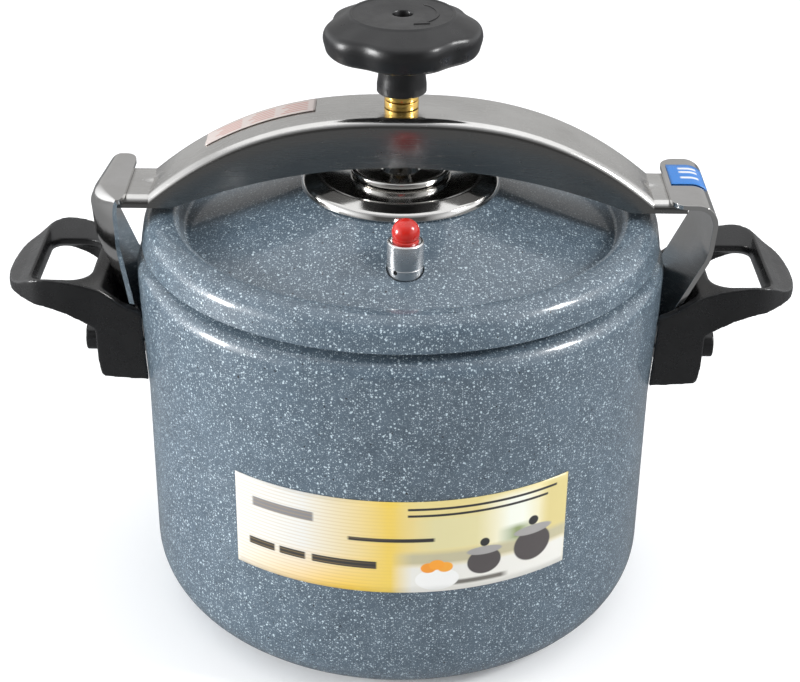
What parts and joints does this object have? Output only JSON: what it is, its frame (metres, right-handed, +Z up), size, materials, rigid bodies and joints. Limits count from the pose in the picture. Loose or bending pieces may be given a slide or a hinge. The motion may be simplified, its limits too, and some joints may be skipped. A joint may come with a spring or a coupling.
{
  "type": "pressure cooker",
  "caption": "Tall round pressure cooker with a flat clamped lid, a screw-down bow held by two side hooks, black side handles and a red release valve.",
  "frame": {"origin": "centre of the resting face, under the middle of the pot", "axes": "+Z up along the screw and the pot's axis, +X towards the right handle, -Y towards the release valve and the label"},
  "size_m": [0.3974, 0.2646, 0.3107],
  "materials": {
    "speckled_coating": "grey-blue speckled baked coating, semi-gloss",
    "polished_steel": "polished stainless steel",
    "bakelite": "moulded black thermoset",
    "brass": "turned brass",
    "aluminium": "turned",
    "grey_rubber": "moulded",
    "red_plastic": "gloss",
    "label_print": null,
    "blue_print": null,
    "pale_print": null
  },
  "bodies": {
    "pot": {"pot_body": "speckled_coating", "front_label": "label_print", "capacity_sticker": "blue_print", "left_strap": "polished_steel", "right_strap": "polished_steel", "left_front_rivet": "aluminium", "left_rear_rivet": "aluminium", "right_front_rivet": "aluminium", "right_rear_rivet": "aluminium", "left_weld_nut": "polished_steel", "right_weld_nut": "polished_steel", "left_handle": "bakelite", "right_handle": "bakelite", "left_handle_bolt": "polished_steel", "right_handle_bolt": "polished_steel"},
    "lid": {"lid_shell": "speckled_coating", "lid_gasket": "grey_rubber", "pressure_disc": "polished_steel", "disc_stud": "polished_steel", "valve_body": "aluminium", "valve_collar": "aluminium", "valve_washer": "grey_rubber", "valve_nut": "aluminium"},
    "valve_piston": {"valve_cap": "red_plastic", "valve_plunger": "aluminium", "valve_spring": "polished_steel"},
    "bow": {"bow_bar": "polished_steel", "bow_bushing": "brass", "bushing_washer": "polished_steel", "bushing_nut": "polished_steel", "bow_sticker": "pale_print"},
    "thrust_pad": {"thrust_cup": "polished_steel"},
    "screw": {"knob": "bakelite", "knob_insert": "brass", "spindle": "polished_steel", "spindle_clip": "polished_steel", "knob_screw": "polished_steel"}
  },
  "joints": [
    {"name": "bow_swing", "type": "hinge", "parent": "pot", "child": "bow", "pos_m": [0, 0, 0.26], "axis": [0, 0, 1], "range_deg": [-45, 0]},
    {"name": "screw_travel", "type": "slide", "parent": "bow", "child": "thrust_pad", "axis": [0, 0, 1], "range_m": [0, 0.005]},
    {"name": "knob_turn", "type": "hinge", "parent": "thrust_pad", "child": "screw", "pos_m": [0, 0, 0.28], "axis": [0, 0, 1], "range_deg": [0, 720]},
    {"name": "lid_turn", "type": "hinge", "parent": "pot", "child": "lid", "pos_m": [0, 0, 0.21], "axis": [0, 0, 1], "range_deg": [-15, 15]},
    {"name": "valve_lift", "type": "slide", "parent": "lid", "child": "valve_piston", "axis": [0, 0, 1], "range_m": [0, 0.003], "stiffness_N_per_m": 60, "springref_m": -0.001, "deforming": ["valve_spring"]}
  ],
  "couplings": [
    {"joint": "screw_travel", "follows": "knob_turn", "m_per_rad": 0.00039789}
  ]
}
